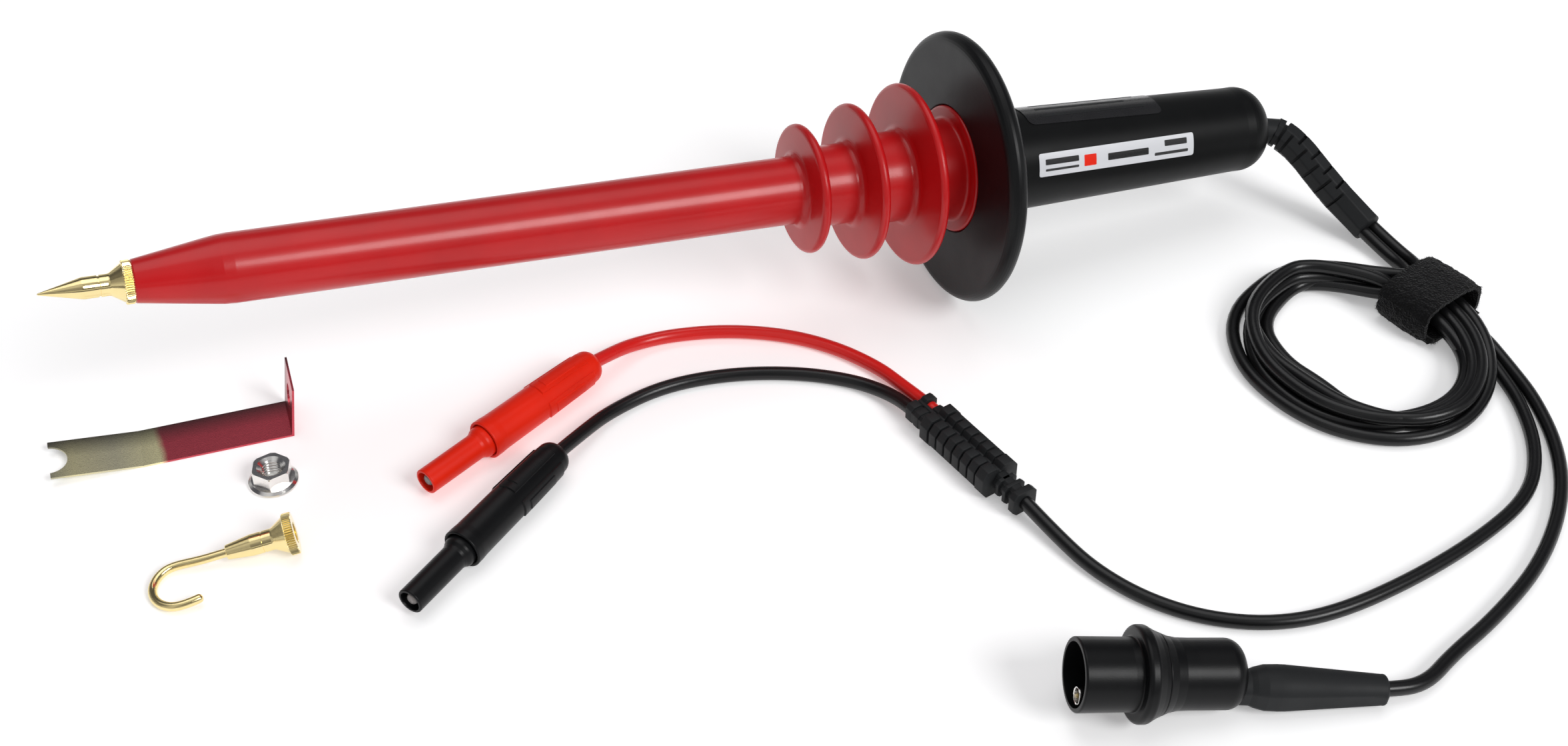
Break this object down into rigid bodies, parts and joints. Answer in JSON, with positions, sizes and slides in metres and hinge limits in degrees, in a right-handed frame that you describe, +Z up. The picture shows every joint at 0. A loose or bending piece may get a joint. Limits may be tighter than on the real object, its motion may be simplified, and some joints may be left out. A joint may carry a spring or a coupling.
{
  "type": "oscilloscope probe",
  "caption": "High-voltage probe with a needle tip, red barrel with rain sheds, guard disc and black handle, tied cables to a coaxial connector and two plugs, and loose tips.",
  "frame": {"origin": "the point where the rim of the guard disc rests on the table", "axes": "+Z up from the table; the probe's axis lies in the XZ plane, needle towards -X and raised, handle towards +X; +Y away from the cables"},
  "size_m": [0.4151, 0.2415, 0.0808],
  "materials": {
    "gold_plate": "gold plated, bright turned",
    "red_barrel": "semi-gloss",
    "black_guard": "satin",
    "black_handle": "matte to satin",
    "white_label": "satin printed film",
    "dark_film": "satin printed film",
    "glazed_ceramic": "glazed",
    "small_brass": "plain",
    "spring_steel": "bright wire",
    "clear_plastic": "natural",
    "copper_wire": "tinned",
    "circuit_laminate": "solder mask",
    "component_body": "moulded",
    "black_cable": "glossy jacket",
    "black_rubber": "satin moulded",
    "red_cable": "glossy jacket",
    "black_fabric": "hook and loop",
    "red_plastic": "satin moulded",
    "black_plastic": "satin moulded",
    "frosted_cap": "translucent",
    "white_insulator": "natural",
    "bright_nickel": "plated",
    "plated_steel": "plated"
  },
  "bodies": {
    "probe": {"tip_stud": "small_brass", "barrel": "red_barrel", "guard_disc": "black_guard", "handle": "black_handle", "name_label": "white_label", "film_label": "dark_film", "resistor_rod": "glazed_ceramic", "resistor_cap_front": "small_brass", "resistor_cap_rear": "small_brass", "contact_spring": "spring_steel", "centring_ring_front": "clear_plastic", "centring_ring_rear": "clear_plastic", "high_voltage_lead": "copper_wire", "circuit_board": "circuit_laminate", "low_side_resistor": "component_body", "trimmer_capacitor": "component_body", "low_side_capacitor": "component_body", "board_holder": "clear_plastic", "cable_clamp": "clear_plastic", "meter_cable_inner": "black_cable", "scope_cable_inner": "black_cable", "strain_relief": "black_rubber", "scope_cable_start": "black_cable", "meter_cable_start": "black_cable", "scope_cable_end": "black_cable", "meter_cable_end": "black_cable", "black_lead": "black_cable", "red_lead": "red_cable", "cable_coil": "black_cable", "cable_tie": "black_fabric", "splice_ground": "small_brass", "splice_signal": "small_brass", "splitter_body": "black_rubber", "red_plug_body": "red_plastic", "red_plug_pin": "bright_nickel", "red_pin_cap": "frosted_cap", "red_sheath_spring": "spring_steel", "black_plug_body": "black_plastic", "black_plug_pin": "bright_nickel", "black_pin_cap": "frosted_cap", "black_sheath_spring": "spring_steel", "connector_housing": "black_plastic", "connector_boot": "black_rubber", "contact_sleeve": "bright_nickel", "contact_insulator": "white_insulator", "centre_pin": "gold_plate", "crimp_ferrule": "small_brass"},
    "needle_tip": {"needle_tip": "gold_plate"},
    "red_sheath": {"red_sheath": "red_plastic"},
    "black_sheath": {"black_sheath": "black_plastic"},
    "connector_shroud": {"connector_shroud": "black_plastic"},
    "hook": {"hook_base": "gold_plate", "hook_wire": "gold_plate"},
    "contact_strip": {"contact_strip": "plated_steel"},
    "flange_nut": {"flange_nut": "bright_nickel"}
  },
  "joints": [
    {"name": "tip_unscrew", "type": "slide", "parent": "probe", "child": "needle_tip", "axis": [-0.9925, 0, 0.1222], "range_m": [0, 0.012]},
    {"name": "red_sheath_slide", "type": "slide", "parent": "probe", "child": "red_sheath", "axis": [0.891, 0.454, 0], "range_m": [0, 0.018], "stiffness_N_per_m": 80, "springref_m": -0.02, "deforming": ["red_sheath_spring"]},
    {"name": "black_sheath_slide", "type": "slide", "parent": "probe", "child": "black_sheath", "axis": [0.8049, 0.5934, 0], "range_m": [0, 0.018], "stiffness_N_per_m": 80, "springref_m": -0.02, "deforming": ["black_sheath_spring"]},
    {"name": "connector_turn", "type": "hinge", "parent": "probe", "child": "connector_shroud", "pos_m": [-0.0426, -0.1712, 0.01535], "axis": [0.9589, -0.2391, -0.153], "range_deg": [0, 90]},
    {"name": "hook_lift", "type": "slide", "parent": "probe", "child": "hook", "axis": [0, 0, 1], "range_m": [0, 0.06]},
    {"name": "strip_lift", "type": "slide", "parent": "probe", "child": "contact_strip", "axis": [0, 0, 1], "range_m": [0, 0.03]},
    {"name": "nut_lift", "type": "slide", "parent": "probe", "child": "flange_nut", "axis": [0, 0, 1], "range_m": [0, 0.045]}
  ]
}
